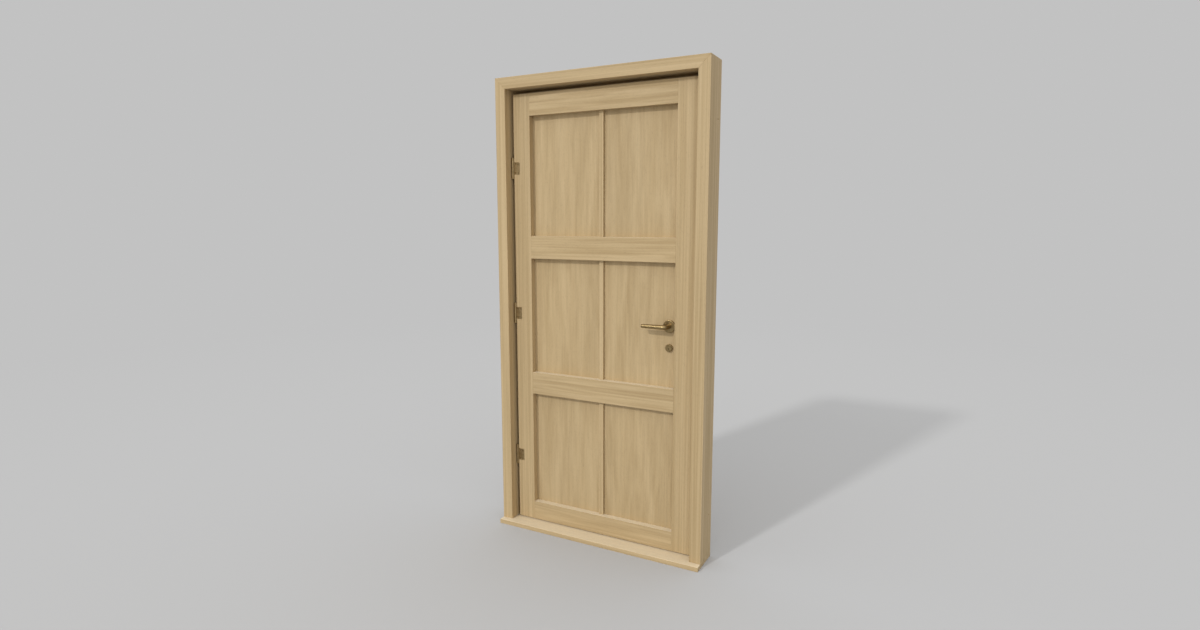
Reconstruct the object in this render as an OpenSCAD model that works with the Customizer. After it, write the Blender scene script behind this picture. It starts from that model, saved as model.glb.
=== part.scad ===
// Panelled timber front door, hung in its frame and shut.
// x runs to the right, y away from the street side and z up, in millimetres. The origin is the
// middle of the sill's underside, straight below the frame's front face.

/* [Frame] */
// Width over the frame
frame_w = 1000; // [900:10:1200]
// Clear height from the sill to the head
clear_h = 2000; // [1900:10:2200]
// Depth of the jambs and the head from front to back
frame_depth = 130; // [100:1:160]
// Width of the front face of the jambs and the head
frame_face = 50; // [46:1:70]
// Thickness of the sill board
sill_t = 20; // [16:1:30]
// How far the sill stands in front of the frame
sill_nose = 30; // [20:1:60]
// Radius of the sill's upper front arris
sill_arris = 3; // [1:0.5:6]
// Width and depth of the drip groove under the sill's nose
drip_groove = 5; // [3:0.5:8]
// How far a stop covers the edge of the leaf
stop_cover = 12; // [11:0.5:18]
// Thickness of the seal between a stop and the leaf
seal_t = 2; // [1.5:0.5:4]
// Width of the seal
seal_w = 7; // [5:0.5:8]
// Diameter of the fixing holes through the jambs
fixing_d = 8; // [6:0.5:12]
// Distance of the fixing holes from the sill and from the head
fixing_inset = 180; // [120:10:220]

/* [Leaf] */
// Thickness of the stiles and rails
leaf_t = 68; // [64:1:74]
// Room for the seal and a stop between the leaf and the frame's back
leaf_setback = 16; // [12:1:24]
// Gap between the leaf and the jamb on the lock side
latch_gap = 5; // [3:0.5:7]
// Gap between the leaf and the head
top_gap = 19; // [4:1:25]
// Gap between the leaf and the sill
bottom_gap = 4; // [3:0.5:10]
// Width of the stile on the hinge side
hinge_stile_w = 86; // [80:1:120]
// Width of the stile on the lock side
lock_stile_w = 94; // [80:1:110]
// Height of the top rail
top_rail_h = 96; // [80:1:140]
// Height of the two middle rails
mid_rail_h = 102; // [80:1:140]
// Height of the bottom rail
bottom_rail_h = 87; // [80:1:200]
// Thickness of the panels
panel_t = 24; // [22:0.5:26]
// How far the panels stand behind the leaf's face
panel_recess = 29; // [24:1:31]
// Width of the upright bar between two panels
muntin_w = 20; // [18:1:60]
// How far that bar stands proud of the panels, front and back
muntin_proud = 12; // [4:1:12]
// Depth of the grooves in stiles and rails that hold the panels
groove_depth = 10; // [6:1:13]
// Depth of the grooves in the upright bars
muntin_groove = 6; // [4:0.5:7]
// Length of the rails' tenons
tenon_l = 50; // [30:1:60]
// Wood left above and below a tenon
tenon_shoulder = 16; // [14:1:24]

/* [Hinges] */
// Diameter of the hinge knuckles, which stand in the gap beside the leaf
knuckle_d = 12; // [11:0.5:16]
// Height of a whole hinge
hinge_h = 91; // [76:1:110]
// Height of the leaf's own knuckle and plate
door_plate_h = 55; // [40:1:60]
// Width of the plate on the face of the leaf
door_plate_w = 30; // [26:1:50]
// Width of the plate in the jamb
jamb_plate_w = 40; // [34:1:46]
// Thickness of the hinge plates
plate_t = 3; // [2.5:0.5:4]
// How far the plate stands proud of the leaf's face
plate_proud = 0.5; // [0.2:0.1:1]
// Diameter of the hinge pins
pin_d = 7; // [5:0.5:8]
// Middle of the lowest hinge above the foot of the leaf
low_hinge_up = 309; // [180:1:400]
// Middle of the second hinge above the foot of the leaf
mid_hinge_up = 994; // [850:1:1150]
// Middle of the top hinge below the head of the leaf
top_hinge_down = 323; // [180:1:400]

/* [Handles and lock] */
// Height of the levers above the rail below them
lever_up = 262; // [150:1:460]
// Distance of the levers from the leaf's edge
backset = 127; // [120:1:150]
// Distance from the levers down to the lock cylinders
key_drop = 92; // [88:1:110]
// Distance of the lever's arm from the panel
lever_reach = 45; // [40:1:60]
// Length of a lever from its axis to its tip
lever_l = 111; // [90:1:140]
// Diameter of a lever at its neck
lever_d = 20; // [15:0.5:22]
// Diameter of a lever at its tip
lever_tip_d = 16; // [10:0.5:18]
// Middle radius of a lever's bend
lever_bend = 15; // [12:0.5:18]
// Diameter of the roses
rose_d = 54; // [50:1:60]
// Thickness of the roses
rose_t = 9; // [7:0.5:12]
// Distance of the rose bolts from the levers' axis
rose_bolt_x = 18; // [16:0.5:18.5]
// Side of the square spindle
spindle_w = 8; // [7:0.5:9]
// Diameter of the lock cylinders
cylinder_d = 28; // [26:0.5:30]
// Diameter of the plug that the key turns
plug_d = 13; // [11:0.5:14]
// How far the plug lies below the middle of its cylinder
plug_drop = 4; // [3:0.5:5]
// Diameter of the collar around a cylinder
collar_d = 32.5; // [32:0.5:44]
// Thickness of the collars
collar_t = 8; // [6:0.5:14]
// How far a cylinder stands proud of its collar
cylinder_proud = 2; // [1:0.5:4]
// Outer thickness of the lock case
case_t = 15; // [14.5:0.5:16]
// Thickness of the lock case's sheet
case_wall = 1.5; // [1:0.25:2]
// Width of the lock's faceplate and of the strike plate
faceplate_w = 24; // [20:1:30]
// Thickness of the lock's faceplate
faceplate_t = 3; // [2:0.5:4]
// Thickness of the strike plate
strike_t = 2.5; // [2:0.5:4]
// Travel of the latch bolt
latch_throw = 12; // [8:0.5:12]
// Height of the latch bolt's head
latch_h = 24; // [20:1:26]
// Travel of the deadbolt
bolt_throw = 20; // [16:0.5:22]
// Height of the deadbolt's head
bolt_h = 30; // [26:1:34]
// Thickness of both bolts' heads
bolt_t = 11; // [8:0.5:11]

/* [Hidden] */
$fn = 64;

// Clearances and small details shared by several pieces
run_clear = 0.05;
slide_clear = 0.3;
knuckle_clear = 0.5;
panel_play = 2;
glue_gap = 2;
seal_clear = 0.2;
mortise_clear = 0.5;
cut = 1;

// Frame
edge_x = frame_w / 2;
reveal_x = edge_x - frame_face;
soffit_z = sill_t + clear_h;
frame_h = soffit_z + frame_face;
hinge_gap = knuckle_d + 2 * knuckle_clear;
drip_inset = 10;
// The left jamb's outline with its mitred top, for the hinge side
jamb_outline = [[-edge_x, sill_t], [-reveal_x, sill_t], [-reveal_x, soffit_z], [-edge_x, frame_h]];

// Leaf, stiles and rails from the foot upwards
leaf_x0 = hinge_gap - reveal_x;
leaf_x1 = reveal_x - latch_gap;
leaf_y1 = frame_depth - leaf_setback;
leaf_y0 = leaf_y1 - leaf_t;
leaf_z0 = sill_t + bottom_gap;
leaf_z1 = soffit_z - top_gap;
field_x0 = leaf_x0 + hinge_stile_w;
field_x1 = leaf_x1 - lock_stile_w;
rail_h = [bottom_rail_h, mid_rail_h, mid_rail_h, top_rail_h];
rows = len(rail_h) - 1;
row_h = (leaf_z1 - leaf_z0 - bottom_rail_h - top_rail_h - (rows - 1) * mid_rail_h) / rows;
rail_z = [for (i = [0:rows]) leaf_z0 + i * row_h + (i == 0 ? 0 : bottom_rail_h + (i - 1) * mid_rail_h)];
panel_y0 = leaf_y0 + panel_recess;
panel_y1 = panel_y0 + panel_t;
panel_in = groove_depth - panel_play;
muntin_x = (field_x0 + field_x1) / 2;
muntin_play = 1;
muntin_web = muntin_w - 2 * muntin_groove;

// Stops and seal behind the leaf
stop_y0 = leaf_y1 + seal_t;
hinge_stop_w = hinge_gap + stop_cover;
lock_stop_w = latch_gap + stop_cover;
stop_z1 = leaf_z1 - stop_cover;
seal_inset = (stop_cover - seal_w) / 2;
// The fixing holes lie beside the leaf's edge, in front of the stops
fixing_ahead = 14;
fixing_y = leaf_y1 - fixing_ahead;

// Hinges
axis_x = leaf_x0 - knuckle_clear - knuckle_d / 2;
axis_y = leaf_y0;
hinge_z = [leaf_z0 + low_hinge_up, leaf_z0 + mid_hinge_up, leaf_z1 - top_hinge_down];
neck_w = 5;
pin_cap_rim = 1.5;
pin_cap_d = pin_d + 2 * pin_cap_rim;
pin_cap_h = 2.5;
pin_cap_round = 1.5;
plate_round = 3;
// Outer edge of the plate on the leaf, from the hinge's axis
plate_x1 = knuckle_d / 2 + knuckle_clear + door_plate_w;

// Wood screws with countersunk heads
screw_d = 4;
screw_head_d = 8;
screw_head_h = 2;
hinge_screw_l = 26;
lock_screw_l = 22;
screw_edge = 8;

// Lock, set in the middle of the panel's thickness
lock_y = (panel_y0 + panel_y1) / 2;
lever_x = leaf_x1 - backset;
lever_z = rail_z[1] + mid_rail_h + lever_up;
cylinder_z = lever_z - key_drop;
plug_z = cylinder_z - plug_drop;
case_end = 28;
case_below = 20;
case_above = 36;
hole_play = 1;
case_x0 = lever_x - case_end;
case_x1 = leaf_x1 - faceplate_t;
case_z0 = cylinder_z - case_below;
case_z1 = lever_z + case_above;
case_y0 = lock_y - case_t / 2;
case_y1 = lock_y + case_t / 2;
inside_y0 = case_y0 + case_wall;
inside_y1 = case_y1 - case_wall;
faceplate_y0 = lock_y - faceplate_w / 2;
faceplate_y1 = lock_y + faceplate_w / 2;
plate_over = 25;
plate_z0 = case_z0 - plate_over;
plate_z1 = case_z1 + plate_over;
lock_screw_z = [plate_z0 + plate_over / 2, plate_z1 - plate_over / 2];

// Levers, roses and their bolts
arm_y = panel_y0 - lever_reach;
neck_y1 = panel_y0 - slide_clear;
socket_l = 26;
rose_round = 3;
tip_round = 4;
rose_bolt_d = 4;
rose_bolt_bite = 6;
rose_bolt_l = panel_t + rose_t + rose_bolt_bite;
// The cylinders run from in front of their collars to the inside of the lock case
cylinder_y0 = panel_y0 - collar_t - cylinder_proud;
cylinder_l = inside_y0 - cylinder_y0;

// Follower: its finger reaches up into a window in the latch's tail
follower_d = 20;
journal_d = 16;
finger_w = 5;
finger_t = 4;
finger_l = 18;

// Latch
latch_x1 = leaf_x1 + latch_throw;
latch_head_l = 34;
latch_up = 14.5;
latch_z = lever_z + latch_up;
latch_tip_t = 2;
tail_y = 10;
tail_up = 12;
tail_z0 = lever_z + tail_up;
tail_h = 5;
tail_end = 6;
window_x0 = lever_x - finger_w / 2 - slide_clear;
window_l = finger_w + latch_throw + 2 * slide_clear;
window_w = finger_t + 2 * slide_clear;
spring_d = 5;
spring_wire_d = 1;
spring_turns = 8;
spring_l = 38;
spring_z = tail_z0 + tail_h + spring_d / 2 + spring_wire_d / 2 + slide_clear;
spring_x1 = latch_x1 - latch_head_l;
post_t = 4;

// Deadbolt and the crank that throws it over half a turn of the key
crank_r = bolt_throw / 2;
crank_pin_d = 4;
crank_rim = 1;
crank_d = 2 * (crank_r + crank_rim) + crank_pin_d;
crank_t = 2.4;
// A crank's travel follows a cosine, so its pin strays from an even travel by this share of its radius
crank_stray = 0.22;
bolt_head_l = 40;
bolt_sunk = 0.5;
bolt_x1 = leaf_x1 - bolt_sunk;
bolt_up = 12;
bolt_z = plug_z + bolt_up;
bolt_tail_t = 4;
bolt_tail_end = 5;
bolt_tail_below = 6;
bolt_slot_w = crank_pin_d + 2 * (crank_r * crank_stray + slide_clear);
bolt_slot_top = crank_r + crank_pin_d / 2 + slide_clear;
bolt_bridge = 5.5;
keyway_w = 2;
keyway_h = 8;
keyway_l = 14;
plug_out = 0.3;
pocket_room = 5;
pocket_clear = 1;

// Colours
oak = [0.73, 0.64, 0.49];
oak_pale = [0.77, 0.68, 0.53];
bronze = [0.46, 0.39, 0.25];
steel = [0.62, 0.63, 0.64];
brass = [0.75, 0.62, 0.32];
rubber = [0.1, 0.1, 0.1];

ROWS = ["bottom", "middle", "top"];
RAILS = ["bottom_rail", "lower_middle_rail", "upper_middle_rail", "top_rail"];

// Shared shapes

// A block between two opposite corners
module span(low, high) {
    translate(low) cube(high - low);
}

// Turns a shape's z axis to +x, +y or -y
module to_x() {
    rotate([0, 90, 0]) children();
}

module to_back() {
    rotate([-90, 0, 0]) children();
}

module to_front() {
    rotate([90, 0, 0]) children();
}

// A street-side piece of the lock or handle, turned over to the room side
module room_side() {
    translate([0, 2 * lock_y, 0]) mirror([0, 1, 0]) children();
}

// Points of a quarter round between two directions
function arc(c, r, a0, a1) = [for (i = [0:6]) let (a = a0 + (a1 - a0) * i / 6) c + r * [cos(a), sin(a)]];

// A flat outline in x and z, drawn out from the front to the back of the frame
module frame_bar(outline) {
    translate([0, frame_depth, 0]) to_front() linear_extrude(frame_depth) polygon(outline);
}

// A countersunk screw that points down -z with its head's face at z = 0
module screw(l) {
    translate([0, 0, -screw_head_h]) cylinder(d1 = screw_d, d2 = screw_head_d, h = screw_head_h);
    translate([0, 0, -l]) cylinder(d = screw_d, h = l - screw_head_h);
}

// The countersunk hole that such a screw needs in a plate
module screw_hole(plate) {
    translate([0, 0, -screw_head_h]) cylinder(d1 = screw_d, d2 = screw_head_d, h = screw_head_h);
    translate([0, 0, -plate - cut]) cylinder(d = screw_d, h = plate + cut - screw_head_h);
}

// A turned disc with a bore and a rounded front edge, standing on z = 0
module turned_disc(d, bore, t, round) {
    edge = [d / 2 - round, t - round];
    rotate_extrude() polygon(concat([[bore / 2, 0], [d / 2, 0]], arc(edge, round, 0, 90), [[bore / 2, t]]));
}

// Frame

module sill() {
    arris = arc([sill_arris - sill_nose, sill_t - sill_arris], sill_arris, 180, 90);
    drip = [drip_inset - sill_nose, 0];
    profile = concat([[-sill_nose, 0]], arris, [[frame_depth, sill_t], [frame_depth, 0]]);
    color(oak_pale) difference() {
        translate([-edge_x, 0, 0]) rotate([90, 0, 90]) linear_extrude(frame_w) polygon(profile);
        span([-edge_x - cut, drip[0], -cut], [edge_x + cut, drip[0] + drip_groove, drip_groove]);
    }
}

module fixing_holes() {
    for (z = [sill_t + fixing_inset, soffit_z - fixing_inset]) {
        translate([reveal_x - cut, fixing_y, z]) to_x() cylinder(d = fixing_d, h = frame_face + 2 * cut);
    }
}

module hinge_jamb() {
    color(oak) difference() {
        frame_bar(jamb_outline);
        mirror([1, 0, 0]) fixing_holes();
        for (z = hinge_z) {
            span([-reveal_x - plate_t, axis_y - neck_w / 2, z - hinge_h / 2],
                 [-reveal_x + cut, axis_y + jamb_plate_w, z + hinge_h / 2]);
        }
    }
}

module lock_jamb() {
    color(oak) difference() {
        mirror([1, 0, 0]) frame_bar(jamb_outline);
        fixing_holes();
        span([reveal_x - cut, faceplate_y0, plate_z0], [reveal_x + strike_t, faceplate_y1, plate_z1]);
        latch_pocket();
        bolt_pocket();
    }
}

// The pockets that take the two bolts, through the strike plate and into the jamb
module pocket(tip_x, z, h) {
    half = [0, bolt_t / 2 + pocket_clear, h / 2 + pocket_clear];
    span([reveal_x - cut, lock_y, z] - half, [tip_x + pocket_room, lock_y, z] + half);
}

module latch_pocket() {
    pocket(latch_x1, latch_z, latch_h);
}

module bolt_pocket() {
    pocket(bolt_x1 + bolt_throw, bolt_z, bolt_h);
}

module head() {
    left = [[-edge_x, frame_h], [-reveal_x, soffit_z]];
    right = [[reveal_x, soffit_z], [edge_x, frame_h]];
    color(oak) frame_bar(concat(left, right));
}

module hinge_stop() {
    color(oak) span([-reveal_x, stop_y0, sill_t], [hinge_stop_w - reveal_x, frame_depth, stop_z1]);
}

module lock_stop() {
    color(oak) span([reveal_x - lock_stop_w, stop_y0, sill_t], [reveal_x, frame_depth, stop_z1]);
}

module head_stop() {
    color(oak) span([-reveal_x, stop_y0, stop_z1], [reveal_x, frame_depth, soffit_z]);
}

module weather_seal() {
    outer = [leaf_x0 + seal_inset, leaf_x1 - seal_inset];
    top = leaf_z1 - seal_inset;
    color(rubber) difference() {
        span([outer[0], leaf_y1 + seal_clear, sill_t], [outer[1], stop_y0, top]);
        span([outer[0] + seal_w, leaf_y1, sill_t - cut], [outer[1] - seal_w, stop_y0 + cut, top - seal_w]);
    }
}

module strike_plate() {
    color(steel) difference() {
        span([reveal_x, faceplate_y0, plate_z0], [reveal_x + strike_t, faceplate_y1, plate_z1]);
        latch_pocket();
        bolt_pocket();
        at_strike_screws() screw_hole(strike_t);
    }
}

module at_strike_screws() {
    for (z = lock_screw_z) {
        translate([reveal_x, lock_y, z]) rotate([0, -90, 0]) children();
    }
}

module strike_screws() {
    color(steel) at_strike_screws() screw(lock_screw_l);
}

// Hinges

module at_hinge(i) {
    translate([axis_x, axis_y, hinge_z[i]]) children();
}

module pin_bore() {
    cylinder(d = pin_d + 2 * run_clear, h = hinge_h + 2 * cut, center = true);
}

module jamb_hinge_leaf(i) {
    end_h = (hinge_h - door_plate_h) / 2 - slide_clear;
    plate_x = -reveal_x - plate_t - axis_x;
    color(bronze) at_hinge(i) difference() {
        union() {
            span([plate_x, -neck_w / 2, -hinge_h / 2], [plate_x + plate_t, jamb_plate_w, hinge_h / 2]);
            for (z = [-hinge_h / 2, hinge_h / 2 - end_h]) {
                translate([0, 0, z]) cylinder(d = knuckle_d, h = end_h);
                span([plate_x, -neck_w / 2, z], [0, neck_w / 2, z + end_h]);
            }
        }
        pin_bore();
        at_jamb_screws() screw_hole(plate_t);
    }
}

// Screw places in the jamb's plate, seen from the hinge's middle
module at_jamb_screws() {
    for (y = [jamb_plate_w - screw_edge, jamb_plate_w - 3 * screw_edge], z = [-1, 1]) {
        translate([-reveal_x - axis_x, y, z * (hinge_h / 2 - 2 * screw_edge)]) to_x() children();
    }
}

module jamb_hinge_screws() {
    color(bronze) for (i = [0:rows - 1]) at_hinge(i) at_jamb_screws() screw(hinge_screw_l);
}

module hinge_pin(i) {
    cap = concat(
        [[0, 0], [pin_cap_d / 2, 0]],
        arc([pin_cap_d / 2 - pin_cap_round, pin_cap_h - pin_cap_round], pin_cap_round, 0, 90),
        [[0, pin_cap_h]]
    );
    color(bronze) at_hinge(i) {
        cylinder(d = pin_d, h = hinge_h, center = true);
        translate([0, 0, hinge_h / 2]) rotate_extrude() polygon(cap);
        translate([0, 0, -hinge_h / 2]) rotate([180, 0, 0]) rotate_extrude() polygon(cap);
    }
}

module door_hinge_leaf(i) {
    color(bronze) at_hinge(i) difference() {
        union() {
            cylinder(d = knuckle_d, h = door_plate_h, center = true);
            door_plate();
        }
        pin_bore();
        at_door_screws() screw_hole(plate_t);
    }
}

// The plate alone, square beside the knuckle and round at its outer corners
module door_plate() {
    inner_w = plate_x1 - plate_round;
    translate([0, plate_t - plate_proud, 0]) to_front() linear_extrude(plate_t) {
        translate([inner_w / 2, 0]) square([inner_w, door_plate_h], center = true);
        translate([plate_x1 / 2, 0]) square([plate_x1, door_plate_h - 2 * plate_round], center = true);
        for (z = [-1, 1]) translate([inner_w, z * (door_plate_h / 2 - plate_round)]) circle(plate_round);
    }
}

module at_door_screws() {
    for (x = [plate_x1 - screw_edge, plate_x1 - door_plate_w + screw_edge], z = [-1, 1]) {
        translate([x, -plate_proud, z * (door_plate_h / 2 - screw_edge)]) to_front() children();
    }
}

module door_hinge_screws() {
    color(bronze) for (i = [0:rows - 1]) at_hinge(i) at_door_screws() screw(hinge_screw_l);
}

// Leaf

function tenon_z(i) = [rail_z[i] + tenon_shoulder, rail_z[i] + rail_h[i] - tenon_shoulder];

// The panels' groove and the tenons' mortises in a stile whose inner edge lies at x = 0, towards -x
module stile_joints() {
    span([-groove_depth, panel_y0, leaf_z0 - cut], [cut, panel_y1, leaf_z1 + cut]);
    for (i = [0:rows]) {
        span([-tenon_l - glue_gap, panel_y0, tenon_z(i)[0]], [cut, panel_y1, tenon_z(i)[1]]);
    }
}

module hinge_stile() {
    color(oak) difference() {
        span([leaf_x0, leaf_y0, leaf_z0], [field_x0, leaf_y1, leaf_z1]);
        translate([field_x0, 0, 0]) stile_joints();
        for (i = [0:rows - 1]) at_hinge(i) door_plate();
    }
}

module lock_stile() {
    color(oak) difference() {
        span([field_x1, leaf_y0, leaf_z0], [leaf_x1, leaf_y1, leaf_z1]);
        translate([field_x1, 0, 0]) mirror([1, 0, 0]) stile_joints();
        lock_mortise();
        span([case_x1, faceplate_y0, plate_z0], [leaf_x1 + cut, faceplate_y1, plate_z1]);
    }
}

// The slot for the lock case, through the stile and into the panel
module lock_mortise() {
    span([case_x0 - mortise_clear, case_y0, case_z0 - mortise_clear],
         [leaf_x1 + cut, case_y1, case_z1 + mortise_clear]);
}

// A rail between the stiles: the groove for the panels runs along the edges that meet one
module rail(i) {
    z0 = rail_z[i];
    z1 = z0 + rail_h[i];
    color(oak) {
        difference() {
            union() {
                span([field_x0, leaf_y0, z0], [field_x1, leaf_y1, z1]);
                span([field_x0 - groove_depth, panel_y0, z0], [field_x1 + groove_depth, panel_y1, z1]);
            }
            if (i > 0) rail_groove(z0 - cut, z0 + groove_depth);
            if (i < rows) rail_groove(z1 - groove_depth, z1 + cut);
        }
        span([field_x0 - tenon_l, panel_y0, tenon_z(i)[0]], [field_x1 + tenon_l, panel_y1, tenon_z(i)[1]]);
    }
}

module rail_groove(z0, z1) {
    span([field_x0 - groove_depth - cut, panel_y0, z0], [field_x1 + groove_depth + cut, panel_y1, z1]);
}

// The sight edges of a row of panels
function row_z(i) = [rail_z[i] + rail_h[i], rail_z[i + 1]];

module muntin(i) {
    z0 = row_z(i)[0];
    z1 = row_z(i)[1];
    half = muntin_w / 2;
    web = muntin_web / 2;
    color(oak) translate([muntin_x, 0, 0]) {
        difference() {
            span([-half, panel_y0 - muntin_proud, z0], [half, panel_y1 + muntin_proud, z1]);
            for (x = [-half - cut, web]) {
                span([x, panel_y0, z0 - cut], [x + muntin_groove + cut, panel_y1, z1 + cut]);
            }
        }
        span([-web, panel_y0, z0 - panel_in], [web, panel_y1, z1 + panel_in]);
    }
}

// A flat panel between a stile and the upright bar
module panel(x0, x1, i) {
    span([x0, panel_y0, row_z(i)[0] - panel_in], [x1, panel_y1, row_z(i)[1] + panel_in]);
}

module left_panel(i) {
    color(oak_pale) panel(field_x0 - panel_in, muntin_x - muntin_web / 2 - muntin_play, i);
}

// The middle panel on the lock side also holds the end of the lock case
module right_panel(i) {
    color(oak_pale) difference() {
        panel(muntin_x + muntin_web / 2 + muntin_play, field_x1 + panel_in, i);
        if (i == 1) {
            lock_mortise();
            through_panel(lever_x, lever_z, journal_d + hole_play);
            through_panel(lever_x, cylinder_z, cylinder_d + 2 * run_clear);
            for (x = [-1, 1]) through_panel(lever_x + x * rose_bolt_x, lever_z, rose_bolt_d + hole_play);
        }
    }
}

module through_panel(x, z, d) {
    translate([x, lock_y, z]) to_back() cylinder(d = d, h = panel_t + 2 * cut, center = true);
}

// Lock case

// A round hole through one of the case's two large sheets
module sheet_hole(x, z, d) {
    translate([x, -cut, z]) to_back() cylinder(d = d, h = case_wall + 2 * cut);
}

module case_sheet() {
    difference() {
        span([case_x0, 0, case_z0], [case_x1, case_wall, case_z1]);
        sheet_hole(lever_x, lever_z, journal_d + 2 * run_clear);
        sheet_hole(lever_x, cylinder_z, cylinder_d + 2 * run_clear);
        for (x = [-1, 1]) sheet_hole(lever_x + x * rose_bolt_x, lever_z, rose_bolt_d + hole_play);
    }
}

// The folded tray: back sheet, three walls and the post that the latch spring pushes against
module lock_case() {
    color(steel) {
        translate([0, inside_y1, 0]) case_sheet();
        difference() {
            span([case_x0, inside_y0, case_z0], [case_x1, inside_y1, case_z1]);
            span([case_x0 + case_wall, inside_y0 - cut, case_z0 + case_wall],
                 [case_x1 + cut, inside_y1 + cut, case_z1 - case_wall]);
        }
        span([spring_x1 - spring_l - post_t, inside_y0, spring_z - spring_d / 2 - spring_wire_d / 2],
             [spring_x1 - spring_l, inside_y1, case_z1 - case_wall]);
    }
}

module lock_cover() {
    color(steel) translate([0, case_y0, 0]) case_sheet();
}

module lock_faceplate() {
    color(brass) difference() {
        span([case_x1, faceplate_y0, plate_z0], [leaf_x1, faceplate_y1, plate_z1]);
        bolt_hole(latch_z, latch_h);
        bolt_hole(bolt_z, bolt_h);
        at_faceplate_screws() screw_hole(faceplate_t);
    }
}

// The opening for a bolt's head in the faceplate
module bolt_hole(z, h) {
    span([case_x1 - cut, lock_y - bolt_t / 2 - slide_clear, z - h / 2 - slide_clear],
         [leaf_x1 + cut, lock_y + bolt_t / 2 + slide_clear, z + h / 2 + slide_clear]);
}

module at_faceplate_screws() {
    for (z = lock_screw_z) {
        translate([leaf_x1, lock_y, z]) to_x() children();
    }
}

module faceplate_screws() {
    color(brass) at_faceplate_screws() screw(lock_screw_l);
}

// Latch: bevelled head on the closing side, flat tail with the window for the follower's finger
module latch_bolt() {
    x0 = latch_x1 - latch_head_l;
    half = bolt_t / 2;
    bevel = [[x0, -half], [latch_x1, -half], [latch_x1, latch_tip_t - half], [leaf_x1, half], [x0, half]];
    color(brass) {
        translate([0, lock_y, latch_z - latch_h / 2]) linear_extrude(latch_h) polygon(bevel);
        translate([0, lock_y, tail_z0]) difference() {
            span([window_x0 - tail_end, -tail_y / 2, 0], [x0, tail_y / 2, tail_h]);
            span([window_x0, -window_w / 2, -cut], [window_x0 + window_l, window_w / 2, tail_h + cut]);
        }
    }
}

// Rings of a round wire's cross-section along the spring's helix, joined into one closed skin
module latch_spring() {
    sides = 6;
    steps = 8 * spring_turns;
    length = spring_l - spring_wire_d - 2 * slide_clear;
    rings = [for (k = [0:steps]) let (a = 360 * k / steps * spring_turns)
        [for (s = [0:sides - 1]) let (b = 360 * s / sides, r = spring_d / 2 + spring_wire_d / 2 * cos(b))
            [length * k / steps + spring_wire_d / 2 * sin(b), r * cos(a), r * sin(a)]]];
    walls = [for (k = [0:steps - 1], s = [0:sides - 1]) let (
        here = k * sides + s,
        next = k * sides + (s + 1) % sides
    ) each [[here, next, next + sides], [here, next + sides, here + sides]]];
    ends = [[for (s = [sides - 1:-1:0]) s], [for (s = [0:sides - 1]) steps * sides + s]];
    start = spring_x1 - spring_l + spring_wire_d / 2 + slide_clear;
    color(steel) translate([start, lock_y, spring_z])
        polyhedron([for (r = rings) each r], concat(walls, ends));
}

module deadbolt() {
    x0 = bolt_x1 - bolt_head_l;
    slot_x = lever_x - crank_r;
    tail_x0 = slot_x - bolt_slot_w / 2 - bolt_tail_end;
    tail_top = plug_z + bolt_slot_top + bolt_bridge;
    half = bolt_tail_t / 2;
    color(brass) translate([0, lock_y, 0]) {
        span([x0, -bolt_t / 2, bolt_z - bolt_h / 2], [bolt_x1, bolt_t / 2, bolt_z + bolt_h / 2]);
        difference() {
            span([tail_x0, -half, plug_z - bolt_tail_below], [x0, half, tail_top]);
            span([slot_x - bolt_slot_w / 2, -half - cut, plug_z - bolt_tail_below - cut],
                 [slot_x + bolt_slot_w / 2, half + cut, plug_z + bolt_slot_top]);
        }
    }
}

// Two round webs joined by the pin that rides in the deadbolt's slot
module bolt_crank() {
    crank_l = inside_y1 - inside_y0 - 2 * plug_out;
    color(steel) translate([lever_x, inside_y0 + plug_out, plug_z]) to_back() {
        cylinder(d = crank_d, h = crank_t);
        translate([0, 0, crank_l - crank_t]) cylinder(d = crank_d, h = crank_t);
        translate([-crank_r, 0, 0]) cylinder(d = crank_pin_d, h = crank_l);
    }
}

// Cylinders and handles, drawn for the street side

module lock_cylinder() {
    translate([lever_x, cylinder_y0, cylinder_z]) to_back() difference() {
        cylinder(d = cylinder_d, h = cylinder_l);
        translate([0, plug_drop, -cut]) cylinder(d = plug_d + 2 * run_clear, h = cylinder_l + 2 * cut);
    }
}

module outer_cylinder() {
    color(bronze) lock_cylinder();
}

module inner_cylinder() {
    color(bronze) room_side() lock_cylinder();
}

module plug() {
    translate([lever_x, cylinder_y0, plug_z]) to_back() difference() {
        cylinder(d = plug_d, h = cylinder_l + plug_out);
        span([-keyway_w / 2, -keyway_h / 2, -cut], [keyway_w / 2, keyway_h / 2, keyway_l]);
    }
}

module outer_plug() {
    color(bronze) plug();
}

module inner_plug() {
    color(bronze) room_side() plug();
}

module collar() {
    translate([lever_x, panel_y0, cylinder_z]) to_front()
        turned_disc(collar_d, cylinder_d + 2 * run_clear, collar_t, (collar_d - cylinder_d) / 4);
}

module outer_collar() {
    color(bronze) collar();
}

module inner_collar() {
    color(bronze) room_side() collar();
}

module rose() {
    translate([lever_x, panel_y0, lever_z]) to_front()
        turned_disc(rose_d, lever_d + 2 * run_clear, rose_t, rose_round);
}

// The rose bolts' axes in the middle of the panel
module at_rose_bolts() {
    for (x = [-1, 1]) translate([lever_x + x * rose_bolt_x, lock_y, lever_z]) children();
}

// The bolts enter from the room side, and end in blind holes in the street side's rose
module outer_rose() {
    color(bronze) difference() {
        rose();
        at_rose_bolts() translate([0, -panel_t / 2 - rose_bolt_bite - slide_clear, 0]) to_back()
            cylinder(d = rose_bolt_d + 2 * run_clear, h = rose_bolt_bite + slide_clear + cut);
    }
}

module inner_rose() {
    color(bronze) difference() {
        room_side() rose();
        at_rose_bolts() translate([0, panel_t / 2 + rose_t, 0]) to_back() screw_hole(rose_t);
    }
}

module rose_bolts() {
    color(bronze) at_rose_bolts() translate([0, panel_t / 2 + rose_t, 0]) to_back() screw(rose_bolt_l);
}

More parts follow.
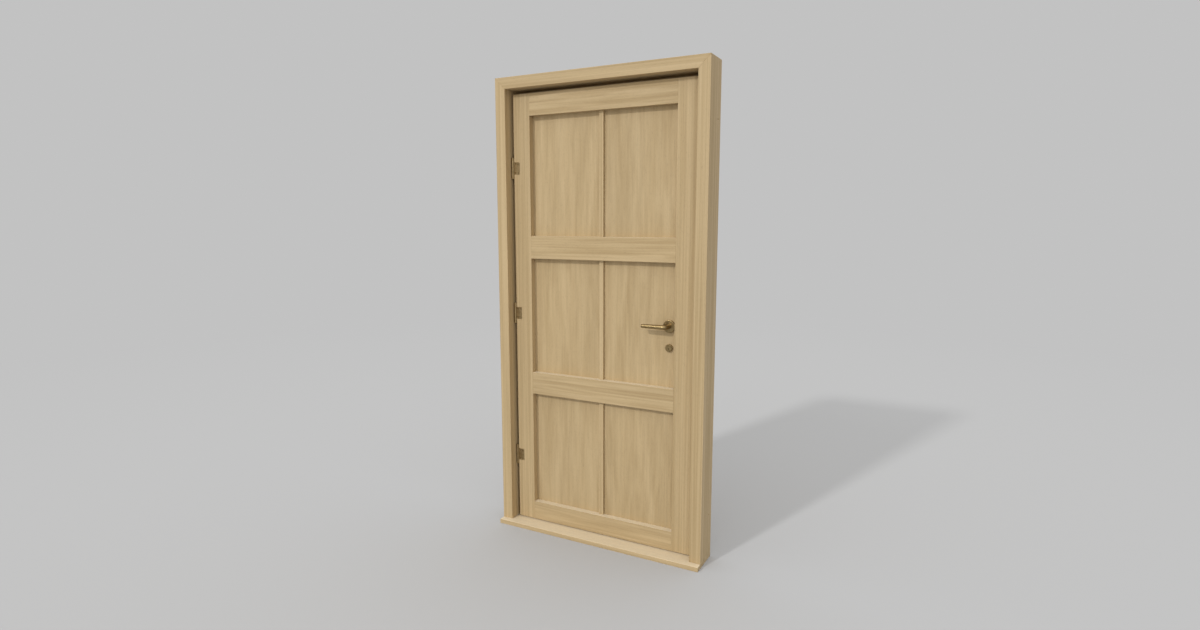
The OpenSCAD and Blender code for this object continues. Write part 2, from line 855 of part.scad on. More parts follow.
// A turned lever: neck, bend and a tapered arm that points to the hinges
module lever() {
    arm_l = lever_l - lever_bend;
    tip = arc([lever_tip_d / 2 - tip_round, arm_l - tip_round], tip_round, 0, 90);
    difference() {
        translate([lever_x, arm_y, lever_z]) {
            translate([0, lever_bend, 0]) to_back() cylinder(d = lever_d, h = neck_y1 - arm_y - lever_bend);
            translate([-lever_bend, lever_bend, 0]) rotate([0, 0, -90])
                rotate_extrude(angle = 90) translate([lever_bend, 0]) circle(d = lever_d);
            translate([-lever_bend, 0, 0]) rotate([0, -90, 0])
                rotate_extrude() polygon(concat([[0, 0], [lever_d / 2, 0]], tip, [[0, arm_l]]));
        }
        spindle_bar(neck_y1 - socket_l, neck_y1 + cut, spindle_w + 2 * run_clear);
    }
}

module spindle_bar(y0, y1, w) {
    span([lever_x - w / 2, y0, lever_z - w / 2], [lever_x + w / 2, y1, lever_z + w / 2]);
}

module outer_lever() {
    color(bronze) lever();
}

module inner_lever() {
    color(bronze) room_side() lever();
}

module spindle() {
    end = lock_y - (neck_y1 - socket_l) - slide_clear;
    color(steel) spindle_bar(lock_y - end, lock_y + end, spindle_w);
}

// The hub that the spindle turns, with the finger that draws the latch back
module follower() {
    hub_t = inside_y1 - inside_y0 - 2 * slide_clear;
    color(brass) difference() {
        translate([lever_x, lock_y, lever_z]) {
            to_back() cylinder(d = follower_d, h = hub_t, center = true);
            to_back() cylinder(d = journal_d, h = case_t, center = true);
            span([-finger_w / 2, -finger_t / 2, 0], [finger_w / 2, finger_t / 2, finger_l]);
        }
        spindle_bar(lock_y - case_t, lock_y + case_t, spindle_w + 2 * run_clear);
    }
}

sill();
hinge_jamb();
lock_jamb();
head();
hinge_stop();
lock_stop();
head_stop();
weather_seal();
strike_plate();
strike_screws();
jamb_hinge_screws();
hinge_stile();
lock_stile();
for (i = [0:rows]) {
    rail(i);
}
for (i = [0:rows - 1]) {
    jamb_hinge_leaf(i);
    hinge_pin(i);
    door_hinge_leaf(i);
    muntin(i);
    left_panel(i);
    right_panel(i);
}
door_hinge_screws();
lock_case();
lock_cover();
lock_faceplate();
faceplate_screws();
latch_spring();
outer_rose();
inner_rose();
rose_bolts();
outer_cylinder();
inner_cylinder();
outer_collar();
inner_collar();
outer_lever();
inner_lever();
spindle();
follower();
latch_bolt();
deadbolt();
outer_plug();
inner_plug();
bolt_crank();
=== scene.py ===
import math

import bpy
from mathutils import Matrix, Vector


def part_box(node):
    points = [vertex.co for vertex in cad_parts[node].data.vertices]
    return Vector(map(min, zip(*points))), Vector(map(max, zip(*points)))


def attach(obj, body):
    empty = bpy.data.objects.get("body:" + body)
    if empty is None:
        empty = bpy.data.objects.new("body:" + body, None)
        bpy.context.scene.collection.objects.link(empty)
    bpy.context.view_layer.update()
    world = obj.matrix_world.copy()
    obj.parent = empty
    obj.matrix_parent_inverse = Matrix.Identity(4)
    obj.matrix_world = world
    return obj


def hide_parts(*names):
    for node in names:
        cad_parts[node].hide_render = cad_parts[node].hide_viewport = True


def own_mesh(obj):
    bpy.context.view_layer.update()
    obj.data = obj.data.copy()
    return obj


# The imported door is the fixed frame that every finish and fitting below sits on. Lengths are in metres,
# x to the right, y away from the street and z up, with the sill's underside on the floor.
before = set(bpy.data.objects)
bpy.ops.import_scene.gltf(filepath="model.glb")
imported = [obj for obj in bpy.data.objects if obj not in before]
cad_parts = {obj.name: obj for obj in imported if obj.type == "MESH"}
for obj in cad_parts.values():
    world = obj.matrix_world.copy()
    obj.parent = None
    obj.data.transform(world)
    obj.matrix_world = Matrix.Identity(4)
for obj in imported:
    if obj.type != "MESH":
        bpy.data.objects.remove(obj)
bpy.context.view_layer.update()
MM = 0.001


# Sill
# An oak board laid across the foot of the opening, its rounded nose standing in front of the frame.
# It is planed, its arrises are eased by hand, and like all the timber it is finished in a clear matt oil.
OAK_PALE = (0.526, 0.393, 0.218)
OAK_DEEP = (0.417, 0.299, 0.152)
OAK_GLOSS = 0.3
OAK_ROUGH = (0.62, 0.5)
OAK_BUMP = 0.3
OAK_RELIEF = 0.2 * MM
# Painted light from above: the faces that look up are painted paler and greyer, fully where they are nearly
# level
OAK_PAINTED_TOP_LIGHT = (0.665, 0.555, 0.385, 1)
PAINTED_TOP_LIGHT_SHARE = 0.95
PAINTED_TOP_LIGHT_SLOPES = (0.6, 0.95)
# For each fine layer of the grain: its markings to a metre across and along the fibres, the detail of its
# noise, the stretch of that noise that shows, and how much the board is darkened or lightened by it
FIBRES = {"per_metre": (420, 4), "detail": 2, "shows": (0.3, 0.7), "tint": (0.95, 1.04)}
PORES = {"per_metre": (1300, 60), "detail": 1, "shows": (0.62, 0.72), "tint": (1, 0.8)}
DRIFT = {"per_metre": (5, 0.8), "detail": 1, "shows": (0.35, 0.65), "tint": (0.97, 1.03)}
# The year rings are cut as broad flames and as narrow lines, and both waver a little
FLAME_DETAIL = 2
FLAME_WAVER = 0.7
LINE_DETAIL = 3
LINE_WAVER = 0.3
NOISE_MIDDLE = 0.5
# A board sawn on the quarter shows narrow straight lines, with little of the broad flames
QUARTER_SAWN = {"flames": (26, 0.7), "lines": (110, 0.9), "line_share": 0.7, "softness": 0.125}
# An arris is eased in two small steps, and the shading stays flat on the broad planed faces beside it
EASED = 0.8 * MM
EASED_STEPS = 2
ARRIS_ANGLE = math.radians(40)
FLAT_ANGLE = math.radians(0.5)
BROAD_FACES_FIRST = 100
SAME_PLACE = 0.01 * MM


def add(tree, kind, inputs=(), **settings):
    """Adds a node, with its inputs given by name or place, as values or as other nodes' outputs."""
    node = tree.nodes.new(kind)
    for key, value in settings.items():
        setattr(node, key, value)
    for key, value in dict(inputs).items():
        if isinstance(value, bpy.types.NodeSocket):
            tree.links.new(value, node.inputs[key])
        else:
            node.inputs[key].default_value = value
    return node


def new_finish(name):
    """A new material, its node tree and its shader."""
    material = bpy.data.materials.new(name)
    material.use_nodes = True
    tree = material.node_tree
    return material, tree, tree.nodes["Principled BSDF"]


def connect(tree, shader, **outputs):
    """Links outputs to the shader's sockets, whose names have spaces in place of underscores."""
    for name, output in outputs.items():
        tree.links.new(output, shader.inputs[name.replace("_", " ")])


def spread(tree, value, low, high, to_low, to_high):
    """Maps a value's range on to another, held at both ends."""
    ends = {"Value": value, "From Min": low, "From Max": high, "To Min": to_low, "To Max": to_high}
    return add(tree, "ShaderNodeMapRange", ends).outputs["Result"]


def times(tree, *values):
    """The product of several values."""
    product = values[0]
    for value in values[1:]:
        product = add(tree, "ShaderNodeMath", {0: product, 1: value}, operation="MULTIPLY").outputs[0]
    return product


def mix_colours(tree, share, first, second):
    """The first colour where share is 0 and the second where it is 1."""
    return add(tree, "ShaderNodeMix", {0: share, 6: first, 7: second}, data_type="RGBA").outputs[2]


def oak(name, grain, cut, shift, tone=1.0):
    """A board's finish. Grain is the axis that the fibres follow, cut is how the board was sawn, and shift
    moves the markings, so that no two boards are alike."""
    material, tree, shader = new_finish(name)
    place = add(tree, "ShaderNodeTexCoord").outputs["Object"]

    def markings(per_metre, detail, waver=0.0):
        scale = [per_metre[0]] * 3
        scale["xyz".index(grain)] = per_metre[1]
        spot = add(tree, "ShaderNodeMapping", {"Vector": place, "Location": shift, "Scale": scale})
        noise = {"Vector": spot.outputs[0], "Scale": 1.0, "Detail": detail, "Distortion": waver}
        return add(tree, "ShaderNodeTexNoise", noise).outputs["Fac"]

    def tint(layer):
        noise = markings(layer["per_metre"], layer["detail"])
        return spread(tree, noise, *layer["shows"], *layer["tint"])

    flames = markings(cut["flames"], FLAME_DETAIL, FLAME_WAVER)
    lines = markings(cut["lines"], LINE_DETAIL, LINE_WAVER)
    rings = {0: cut["line_share"], 2: flames, 3: lines}
    rings = add(tree, "ShaderNodeMix", rings, data_type="FLOAT").outputs[0]
    rings = spread(tree, rings, NOISE_MIDDLE - cut["softness"], NOISE_MIDDLE + cut["softness"], 0, 1)
    fibres = tint(FIBRES)
    pores = tint(PORES)
    # Painted light: faces that look up are mixed towards a paler, greyer oak, as if lit from above
    facing = {0: add(tree, "ShaderNodeNewGeometry").outputs["True Normal"]}
    facing = add(tree, "ShaderNodeSeparateXYZ", facing).outputs["Z"]
    painted_top_light = spread(tree, facing, *PAINTED_TOP_LIGHT_SLOPES, 0, PAINTED_TOP_LIGHT_SHARE)
    deep = [tone * c for c in OAK_DEEP] + [1]
    pale = [tone * c for c in OAK_PALE] + [1]
    board = mix_colours(tree, rings, deep, pale)
    board = mix_colours(tree, painted_top_light, board, OAK_PAINTED_TOP_LIGHT)
    shade = {0: board, "Scale": times(tree, fibres, pores, tint(DRIFT))}
    height = {"Height": times(tree, fibres, pores), "Strength": OAK_BUMP, "Distance": OAK_RELIEF}
    connect(
        tree, shader,
        Base_Color=add(tree, "ShaderNodeVectorMath", shade, operation="SCALE").outputs[0],
        Roughness=spread(tree, rings, 0, 1, *OAK_ROUGH),
        Normal=add(tree, "ShaderNodeBump", height).outputs[0],
    )
    shader.inputs["Specular IOR Level"].default_value = OAK_GLOSS
    return material


def timber(node, material):
    """Gives a timber solid its finish, and takes the sharpness off its arrises."""
    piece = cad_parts[node]
    piece.material_slots[0].material = material
    weld = piece.modifiers.new("closed_faces", "WELD")
    weld.merge_threshold = SAME_PLACE
    whole = piece.modifiers.new("whole_faces", "DECIMATE")
    whole.decimate_type = "DISSOLVE"
    whole.angle_limit = FLAT_ANGLE
    arris = piece.modifiers.new("eased_arrises", "BEVEL")
    arris.width = EASED
    arris.segments = EASED_STEPS
    arris.limit_method = "ANGLE"
    arris.angle_limit = ARRIS_ANGLE
    arris.use_clamp_overlap = False
    planed = piece.modifiers.new("planed_faces", "WEIGHTED_NORMAL")
    planed.weight = BROAD_FACES_FIRST


timber("sill", oak("oak_sill", "x", QUARTER_SAWN, (3.1, 7.7, 0.4)))


# Jambs and head
# Two oak uprights and a head, mitred at the top corners, with recesses cut for the hinge plates and the
# strike plate. They are the straightest boards of the door, with a narrow even grain along their length.
timber("hinge_jamb", oak("oak_hinge_jamb", "z", QUARTER_SAWN, (0.0, 4.2, 9.0), tone=1.02))
timber("lock_jamb", oak("oak_lock_jamb", "z", QUARTER_SAWN, (5.3, 1.1, 2.6)))
timber("head", oak("oak_head", "x", QUARTER_SAWN, (8.4, 0.7, 3.9), tone=1.02))


# Stops and weather seal
# Square oak strips planted on the jambs and the head behind the leaf, which closes against a thin black
# strip of moulded rubber stuck to their front faces. The rubber has a faint grey bloom.
SEAL_BLACK = (0.012, 0.012, 0.012, 1)
SEAL_BLOOM = (0.03, 0.03, 0.031, 1)
SEAL_ROUGH = (0.55, 0.75)
BLOOM = {"Scale": 180.0, "Detail": 3}
BLOOM_SHOWS = (0.3, 0.7)
timber("hinge_stop", oak("oak_hinge_stop", "z", QUARTER_SAWN, (2.2, 6.1, 0.3)))
timber("lock_stop", oak("oak_lock_stop", "z", QUARTER_SAWN, (7.9, 3.3, 5.2)))
timber("head_stop", oak("oak_head_stop", "x", QUARTER_SAWN, (1.8, 9.4, 6.6)))


def rubber():
    """Black moulded rubber with a faint bloom."""
    material, tree, shader = new_finish("black_rubber")
    place = add(tree, "ShaderNodeTexCoord").outputs["Object"]
    bloom = add(tree, "ShaderNodeTexNoise", {"Vector": place} | BLOOM).outputs["Fac"]
    connect(
        tree, shader,
        Base_Color=mix_colours(tree, bloom, SEAL_BLACK, SEAL_BLOOM),
        Roughness=spread(tree, bloom, *BLOOM_SHOWS, *SEAL_ROUGH),
    )
    return material


def finish(material, *names):
    """Gives several solids one finish."""
    for name in names:
        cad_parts[name].material_slots[0].material = material


finish(rubber(), "weather_seal")


# Stiles
# The two uprights of the leaf, grooved for the panels and mortised for the rails and the lock.
# They are sawn from straight oak, with the grain running their full height.
timber("hinge_stile", oak("oak_hinge_stile", "z", QUARTER_SAWN, (4.7, 2.9, 1.5)))
timber("lock_stile", oak("oak_lock_stile", "z", QUARTER_SAWN, (9.6, 5.8, 7.1), tone=0.99))


# Rails
# Four oak crosspieces tenoned and glued into the stiles. Their grain runs across the leaf, so each joint
# with a stile shows as a change of direction and a fine eased line.
RIFT_SAWN = {"flames": (48, 2.2), "lines": (120, 1.8), "line_share": 0.4, "softness": 0.115}
RAILS = ("bottom_rail", "lower_middle_rail", "upper_middle_rail", "top_rail")
for i, rail in enumerate(RAILS):
    shift = (1.7 * i, 3.0 + 2.3 * i, 5.5 * i)
    tone = 0.98 + 0.01 * i
    timber(rail, oak("oak_" + rail, "x", RIFT_SAWN, shift, tone))


# Upright bars
# A slender grooved bar stands between the two panels of each row, tenoned into the rails above and below.
# The bars are cut from the same straight oak as the stiles, and a little paler.
ROWS = ("bottom", "middle", "top")
for i, row in enumerate(ROWS):
    bar = "muntin_" + row
    shift = (6.0 + 1.9 * i, 0.8, 2.7 * i)
    timber(bar, oak("oak_" + bar, "z", QUARTER_SAWN, shift, tone=1.01))


# Panels
# Six flat oak panels that float in the grooves, which hide their edges. They are wide boards sawn through
# the heart side, so their markings are broader than the frame's and break off in short flames.
PLAIN_SAWN = {"flames": (17, 2.0), "lines": (85, 6.0), "line_share": 0.4, "softness": 0.17}
for i, row in enumerate(ROWS):
    for j, side in enumerate(("left", "right")):
        panel = f"{side}_panel_{row}"
        shift = (2.6 * i + 4.4 * j, 1.2 + 3.7 * j, 6.3 * i + 0.9 * j)
        tone = 0.985 + 0.01 * ((i + j) % 3)
        finish(oak("oak_" + panel, "z", PLAIN_SAWN, shift, tone), panel)


# Hinges
# Three hinges of cast and machined bronze: a plate let into the jamb, a plate on the leaf's face, knuckles
# in the gap beside the leaf and a loose pin with a turned cap at each end. The bronze is left to darken.
HINGE_PALE = (0.43, 0.32, 0.17)
HINGE_DEEP = (0.33, 0.24, 0.12)
HINGE_ROUGH = (0.34, 0.46)
# Tarnish lies in soft clouds, and handling leaves fine upright rubbing marks
TARNISH = {"Scale": 70.0, "Detail": 4, "Roughness": 0.6}
TARNISH_SHOWS = (0.36, 0.64)
RUBBED_PER_METRE = (900, 900, 90)
RUBBED = {"Scale": 1.0, "Detail": 2}
RUBBED_SHOWS = (0.3, 0.7)
RUBBED_BUMP = 0.08
RUBBED_RELIEF = 0.05 * MM


def metal(name, pale, deep, rough):
    """A worn metal: tarnish in soft clouds, with fine rubbing marks that change its gloss."""
    material, tree, shader = new_finish(name)
    place = add(tree, "ShaderNodeTexCoord").outputs["Object"]
    tarnish = add(tree, "ShaderNodeTexNoise", {"Vector": place} | TARNISH).outputs["Fac"]
    tarnish = spread(tree, tarnish, *TARNISH_SHOWS, 0, 1)
    stretched = add(tree, "ShaderNodeMapping", {"Vector": place, "Scale": RUBBED_PER_METRE}).outputs[0]
    rubbed = add(tree, "ShaderNodeTexNoise", {"Vector": stretched} | RUBBED).outputs["Fac"]
    height = {"Height": rubbed, "Strength": RUBBED_BUMP, "Distance": RUBBED_RELIEF}
    connect(
        tree, shader,
        Base_Color=mix_colours(tree, tarnish, (*deep, 1), (*pale, 1)),
        Roughness=spread(tree, rubbed, *RUBBED_SHOWS, *rough),
        Normal=add(tree, "ShaderNodeBump", height).outputs[0],
    )
    shader.inputs["Metallic"].default_value = 1.0
    return material


hinge_bronze = metal("hinge_bronze", HINGE_PALE, HINGE_DEEP, HINGE_ROUGH)
for row in ROWS:
    finish(hinge_bronze, "jamb_hinge_leaf_" + row, "door_hinge_leaf_" + row, "hinge_pin_" + row)


# Hinge screws
# Countersunk slotted wood screws turned from bronze bar, darker than the plates and four to each. A thread
# is cut down to the point, and each is driven by hand until its head lies just below the plate's surface.
HEAD_D = 8.0 * MM
HEAD_PLAY = 0.3 * MM
HEAD_SUNK = 0.2 * MM
HEAD_DEPTH = 2.0 * MM
SHANK_D = 4.0 * MM
SLOT_W = 1.2 * MM
SLOT_DEPTH = 0.9 * MM
THREAD_PITCH = 1.5 * MM
THREAD_DEPTH = 0.5 * MM
THREAD_FROM = 9.0 * MM
SCREW_POINT = 5.0 * MM
HINGE_SCREW_L = 26 * MM
# The share of the shank's radius that is left at the very point
POINT_LEFT = 0.12
SCREW_SIDES = 24
RING_STEP = 0.3 * MM
SCREW_SEED = 7
BRONZE_PALE = (0.345, 0.250, 0.120)
BRONZE_DEEP = (0.240, 0.168, 0.076)
BRONZE_ROUGH = (0.3, 0.42)
FULL_TURN = 2 * math.pi
bronze = metal("dark_bronze", BRONZE_PALE, BRONZE_DEEP, BRONZE_ROUGH)


def take_inputs(tree, kinds):
    """Declares a tree's inputs from names and kinds, and gives each name's identifier."""
    return {
        name: tree.interface.new_socket(name, in_out="INPUT", socket_type="NodeSocket" + kind).identifier
        for name, kind in kinds.items()
    }


def slotted_screw():
    """A tree that drives one slotted countersunk screw in at each of a mesh's points."""
    tree = bpy.data.node_groups.new("slotted_screw", "GeometryNodeTree")
    head_sizes = ("Head Diameter", "Head Depth", "Slot Width", "Slot Depth")
    bar_sizes = ("Shank Diameter", "Length", "Thread From", "Thread Pitch", "Thread Depth", "Point Length")
    kinds = {"Places": "Geometry", "Outward": "Vector", "Rings": "Int", "Seed": "Int", "Finish": "Material"}
    ids = take_inputs(tree, kinds | {name: "Float" for name in head_sizes + bar_sizes})
    tree.interface.new_socket("Screws", in_out="OUTPUT", socket_type="NodeSocketGeometry")
    given = add(tree, "NodeGroupInput").outputs
    length = given["Length"]

    def figure(operation, first, second):
        return add(tree, "ShaderNodeMath", {0: first, 1: second}, operation=operation).outputs[0]

    # A bar of radius 1 is turned down to the head's cone, the shank, the thread and the point
    bar = {"Vertices": SCREW_SIDES, "Side Segments": given["Rings"], "Radius": 1.0, "Depth": length}
    bar = add(tree, "GeometryNodeMeshCylinder", bar).outputs["Mesh"]
    spot = {0: add(tree, "GeometryNodeInputPosition").outputs[0]}
    spot = add(tree, "ShaderNodeSeparateXYZ", spot).outputs
    depth = figure("SUBTRACT", times(tree, length, 0.5), spot["Z"])
    head_r = times(tree, given["Head Diameter"], 0.5)
    shank_r = times(tree, given["Shank Diameter"], 0.5)
    plain = spread(tree, depth, 0.0, given["Head Depth"], head_r, shank_r)
    round_once = times(tree, figure("ARCTAN2", spot["Y"], spot["X"]), 1 / FULL_TURN)
    along = figure("ADD", figure("DIVIDE", depth, given["Thread Pitch"]), round_once)
    groove = times(tree, figure("PINGPONG", along, 0.5), 2.0, given["Thread Depth"])
    groove = times(tree, groove, figure("GREATER_THAN", depth, given["Thread From"]))
    point_from = figure("SUBTRACT", length, given["Point Length"])
    point = spread(tree, depth, point_from, length, 1.0, POINT_LEFT)
    radius = times(tree, figure("SUBTRACT", plain, groove), point)
    turned = {"X": times(tree, spot["X"], radius), "Y": times(tree, spot["Y"], radius)}
    turned["Z"] = times(tree, depth, -1.0)
    turned = {"Geometry": bar, "Position": add(tree, "ShaderNodeCombineXYZ", turned).outputs[0]}
    turned = add(tree, "GeometryNodeSetPosition", turned).outputs[0]

    # A cutter across the head, twice as deep as the slot because half of it stands above the head
    cutter = {
        "X": times(tree, given["Head Diameter"], 2.0),
        "Y": given["Slot Width"],
        "Z": times(tree, given["Slot Depth"], 2.0),
    }
    cutter = {"Size": add(tree, "ShaderNodeCombineXYZ", cutter).outputs[0]}
    cutter = add(tree, "GeometryNodeMeshCube", cutter).outputs["Mesh"]
    screw = {"Mesh 1": turned, "Mesh 2": cutter}
    screw = add(tree, "GeometryNodeMeshBoolean", screw, operation="DIFFERENCE", solver="MANIFOLD")

    # Each screw stops at an angle of its own
    facing = {"Vector": given["Outward"]}
    facing = add(tree, "FunctionNodeAlignRotationToVector", facing, axis="Z").outputs[0]
    stop = {2: 0.0, 3: math.pi, "Seed": given["Seed"]}
    stop = add(tree, "FunctionNodeRandomValue", stop, data_type="FLOAT").outputs[1]
    twist = add(tree, "FunctionNodeAxisAngleToRotation", {"Axis": (0, 0, 1), "Angle": stop}).outputs[0]
    facing = {"Rotation": facing, "Rotate By": twist}
    facing = add(tree, "FunctionNodeRotateRotation", facing, rotation_space="LOCAL").outputs[0]
    driven = {"Points": given["Places"], "Instance": screw.outputs["Mesh"], "Rotation": facing}
    driven = add(tree, "GeometryNodeInstanceOnPoints", driven).outputs[0]
    real = add(tree, "GeometryNodeRealizeInstances", {"Geometry": driven}).outputs[0]
    done = add(tree, "GeometryNodeSetMaterial", {"Geometry": real, "Material": given["Finish"]}).outputs[0]
    add(tree, "NodeGroupOutput", {"Screws": done})
    return tree, ids


def head_middles(node, outward):
    """The middles of a screw group's heads, which are its outermost faces along outward."""
    points = [v.co.copy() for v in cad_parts[node].data.vertices]
    reach = max(p.dot(outward) for p in points)
    heads = []
    for p in points:
        if p.dot(outward) > reach - SAME_PLACE:
            near = [h for h in heads if (h[0] - p).length < 1.1 * HEAD_D]
            if near:
                near[0].append(p)
            else:
                heads.append([p])
    return [(Vector(map(min, *h)) + Vector(map(max, *h))) / 2 for h in heads]


def built(name, tree, inputs, points=()):
    """Runs a tree on some points and keeps the result as a plain mesh."""
    mesh = bpy.data.meshes.new(name)
    mesh.from_pydata([tuple(p) for p in points], [], [])
    piece = bpy.data.objects.new(name, mesh)
    bpy.context.scene.collection.objects.link(piece)
    maker = piece.modifiers.new("maker", "NODES")
    maker.node_group = tree
    for identifier, value in inputs.items():
        maker[identifier] = value
    shown = piece.evaluated_get(bpy.context.evaluated_depsgraph_get())
    piece.data = bpy.data.meshes.new_from_object(shown)
    piece.modifiers.remove(maker)
    return piece


screw_tree, screw_inputs = slotted_screw()


def drive_screws(node, body, slot, material, outward, length, thread_from=THREAD_FROM, point=SCREW_POINT):
    """Puts slotted screws in the place of a group of plain ones."""
    outward = Vector(outward)
    sizes = {
        "Head Diameter": HEAD_D - 2 * HEAD_PLAY,
        "Head Depth": HEAD_DEPTH,
        "Shank Diameter": SHANK_D,
        "Length": length - HEAD_SUNK,
        "Thread From": thread_from,
        "Thread Pitch": THREAD_PITCH,
        "Thread Depth": THREAD_DEPTH,
        "Point Length": point,
        "Rings": round(length / RING_STEP),
        "Slot Width": SLOT_W,
        "Slot Depth": SLOT_DEPTH,
        "Outward": outward,
        "Seed": SCREW_SEED,
        "Finish": material,
    }
    inputs = {screw_inputs[name]: value for name, value in sizes.items()}
    heads = [middle - outward * HEAD_SUNK for middle in head_middles(node, outward)]
    screws = built("slotted_" + node, screw_tree, inputs, heads)
    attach(screws, body)
    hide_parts(node)


drive_screws("jamb_hinge_screws", "frame", "bronze", bronze, (1, 0, 0), HINGE_SCREW_L)
drive_screws("door_hinge_screws", "leaf", "bronze", bronze, (0, -1, 0), HINGE_SCREW_L)


# Strike plate
# A steel plate let flush into the lock jamb, stamped with a window for each bolt.
# Two slotted steel screws hold it, one above the windows and one below.
STEEL_PALE = (0.58, 0.58, 0.57)
STEEL_DEEP = (0.45, 0.45, 0.45)
STEEL_ROUGH = (0.25, 0.38)
LOCK_SCREW_L = 22 * MM
steel = metal("bright_steel", STEEL_PALE, STEEL_DEEP, STEEL_ROUGH)
finish(steel, "strike_plate")
drive_screws("strike_screws", "frame", "steel", steel, (-1, 0, 0), LOCK_SCREW_L)


# Lock
# A folded steel case in the leaf's edge behind a brass faceplate. Inside it a cast brass latch, drawn back
# by the follower's finger, and a brass deadbolt, thrown by a steel crank on the key plugs.
BRASS_PALE = (0.56, 0.41, 0.17)
BRASS_DEEP = (0.42, 0.30, 0.12)
BRASS_ROUGH = (0.25, 0.4)
brass = metal("worn_brass", BRASS_PALE, BRASS_DEEP, BRASS_ROUGH)
finish(steel, "lock_case", "lock_cover", "spindle", "bolt_crank")
finish(brass, "lock_faceplate", "latch_bolt", "deadbolt", "follower")
drive_screws("faceplate_screws", "leaf", "brass", brass, (1, 0, 0), LOCK_SCREW_L)


# Latch spring
# A coil of round steel wire between the latch's head and a post in the case, which pushes the latch out.
# It is wound once, at its rest length.
SPRING_TURNS = 8
SPRING_WIRE = 1 * MM
STEPS_PER_TURN = 24
WIRE_SIDES = 10


def coil_spring():
    """A tree that winds a spring of round wire along x."""
    tree = bpy.data.node_groups.new("coil_spring", "GeometryNodeTree")
    kinds = {"Start": "Vector", "Turns": "Float", "Coil Diameter": "Float", "Wire Diameter": "Float"}
    ids = take_inputs(tree, kinds | {"Length": "Float", "Finish": "Material"})
    tree.interface.new_socket("Spring", in_out="OUTPUT", socket_type="NodeSocketGeometry")
    given = add(tree, "NodeGroupInput").outputs
    radius = times(tree, given["Coil Diameter"], 0.5)
    coil = {"Resolution": STEPS_PER_TURN, "Rotations": given["Turns"], "Height": given["Length"]}
    coil = add(tree, "GeometryNodeCurveSpiral", coil | {"Start Radius": radius, "End Radius": radius})
    laid = {"Geometry": coil.outputs[0], "Translation": given["Start"], "Rotation": (0, math.pi / 2, 0)}
    laid = add(tree, "GeometryNodeTransform", laid).outputs[0]
    wire = {"Resolution": WIRE_SIDES, "Radius": times(tree, given["Wire Diameter"], 0.5)}
    wire = add(tree, "GeometryNodeCurvePrimitiveCircle", wire).outputs["Curve"]
    wound = {"Curve": laid, "Profile Curve": wire, "Fill Caps": True}
    wound = add(tree, "GeometryNodeCurveToMesh", wound).outputs[0]
    real = add(tree, "GeometryNodeRealizeInstances", {"Geometry": wound}).outputs[0]
    done = add(tree, "GeometryNodeSetMaterial", {"Geometry": real, "Material": given["Finish"]}).outputs[0]
    add(tree, "NodeGroupOutput", {"Spring": done})
    return tree, ids


spring_low, spring_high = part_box("latch_spring")
spring_l = spring_high.x - spring_low.x
spring_tree, spring_inputs = coil_spring()
spring_sizes = {
    "Start": (
        spring_low.x + SPRING_WIRE / 2,
        (spring_low.y + spring_high.y) / 2,
        (spring_low.z + spring_high.z) / 2,
    ),
    "Turns": SPRING_TURNS,
    "Coil Diameter": spring_high.z - spring_low.z - SPRING_WIRE,
    "Wire Diameter": SPRING_WIRE,
    "Length": spring_l - SPRING_WIRE,
    "Finish": steel,
}
spring_sizes = {spring_inputs[name]: value for name, value in spring_sizes.items()}
spring = built("wound_latch_spring", spring_tree, spring_sizes)
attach(spring, "leaf")
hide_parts("latch_spring")
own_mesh(spring)


# Roses, cylinders and collars
# Turned bronze discs that cover the holes in the panel: a rose with a rounded edge for each lever, held by
# two bolts from the room side, and a tall collar around each lock cylinder with its slotted key plug.
ROSE_BOLT_L = 39 * MM
ROSE_BOLT_THREAD_FROM = 20 * MM
ROSE_BOLT_POINT = 0.5 * MM
rose_bolt = (ROSE_BOLT_L, ROSE_BOLT_THREAD_FROM, ROSE_BOLT_POINT)
for side in ("outer", "inner"):
    finish(bronze, side + "_rose", side + "_collar", side + "_cylinder", side + "_plug")
drive_screws("rose_bolts", "leaf", "bronze", bronze, (0, 1, 0), *rose_bolt)


# Levers
# A round bronze bar bent once and turned to a slight taper, one on each side of the leaf, both fixed on the
# square spindle.
finish(bronze, "outer_lever", "inner_lever")


# Floor, light and camera
# A plain pale floor that fades into a backdrop of the same tone, with soft light from all round and above.
# A lamp stands in front on the left, a broad soft one in front on the right, and the camera to the right.
BACKDROP = 0.54
OVERHEAD = 0.7
OVERHEAD_RANGE = (0.35, 0.9)
FLOOR_TONE = 0.46
FLOOR_ROUGH = 0.9
FLOOR_SIZE = 60.0
FADE_RANGE = (2.5, 7.0)
LAMP_POWER = 1.2
LAMP_SPREAD = math.radians(4)
LAMP_FROM = Vector((-0.259, -0.797, 0.545))
FILL_POWER = 0.68
FILL_SPREAD = math.radians(70)
FILL_FROM = Vector((0.35, -0.92, 0.15))
CAMERA_AT = (1.3576, -2.5356, 1.4454)
CAMERA_TURN = math.radians(27.685)
CAMERA_DIP = math.radians(7.994)
CAMERA_LENS = 20.21


def grey(tone):
    """A neutral colour."""
    return tone, tone, tone, 1


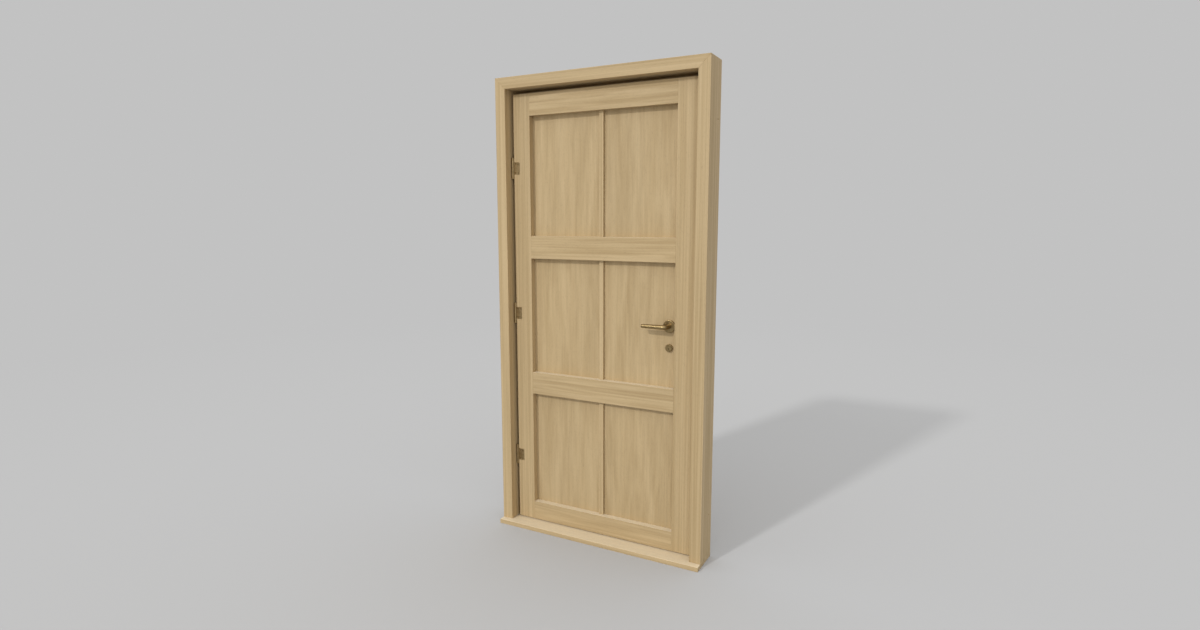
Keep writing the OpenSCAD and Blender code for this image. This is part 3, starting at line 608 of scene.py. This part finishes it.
floor_mesh = bpy.data.meshes.new("floor")
corners = [(x * FLOOR_SIZE, y * FLOOR_SIZE, 0) for x, y in ((-1, -1), (1, -1), (1, 1), (-1, 1))]
floor_mesh.from_pydata(corners, [], [(0, 1, 2, 3)])
floor = bpy.data.objects.new("floor", floor_mesh)
bpy.context.scene.collection.objects.link(floor)
pale_floor, tree, shader = new_finish("pale_floor")
shader.inputs["Base Color"].default_value = grey(FLOOR_TONE)
shader.inputs["Roughness"].default_value = FLOOR_ROUGH
shader.inputs["Specular IOR Level"].default_value = 0.0
away = {0: add(tree, "ShaderNodeTexCoord").outputs["Object"]}
away = add(tree, "ShaderNodeVectorMath", away, operation="LENGTH").outputs["Value"]
fade = spread(tree, away, *FADE_RANGE, 0, 1)
backdrop = add(tree, "ShaderNodeEmission", {"Color": grey(BACKDROP), "Strength": 1.0})
both = add(tree, "ShaderNodeMixShader", {0: fade, 1: shader.outputs[0], 2: backdrop.outputs[0]})
tree.links.new(both.outputs[0], tree.nodes["Material Output"].inputs["Surface"])
floor_mesh.materials.append(pale_floor)

world = bpy.data.worlds.new("studio")
bpy.context.scene.world = world
world.use_nodes = True
tree = world.node_tree
height = {0: add(tree, "ShaderNodeTexCoord").outputs["Generated"]}
height = add(tree, "ShaderNodeSeparateXYZ", height).outputs["Z"]
room = spread(tree, height, *OVERHEAD_RANGE, BACKDROP, BACKDROP + OVERHEAD)
tree.links.new(room, tree.nodes["Background"].inputs["Strength"])
tree.nodes["Background"].inputs["Color"].default_value = grey(1)


def far_lamp(name, power, spread_angle, came_from):
    """A lamp far away, whose light comes from one direction."""
    data = bpy.data.lights.new(name, "SUN")
    data.energy = power
    data.angle = spread_angle
    lamp = bpy.data.objects.new(name, data)
    lamp.rotation_euler = came_from.to_track_quat("Z", "Y").to_euler()
    bpy.context.scene.collection.objects.link(lamp)


far_lamp("front_lamp", LAMP_POWER, LAMP_SPREAD, LAMP_FROM)
far_lamp("soft_fill", FILL_POWER, FILL_SPREAD, FILL_FROM)

camera_data = bpy.data.cameras.new("camera")
camera_data.lens = CAMERA_LENS
camera = bpy.data.objects.new("camera", camera_data)
camera.location = CAMERA_AT
camera.rotation_euler = (math.pi / 2 - CAMERA_DIP, 0, CAMERA_TURN)
bpy.context.scene.collection.objects.link(camera)
bpy.context.scene.camera = camera
bpy.context.scene.view_settings.view_transform = "Standard"
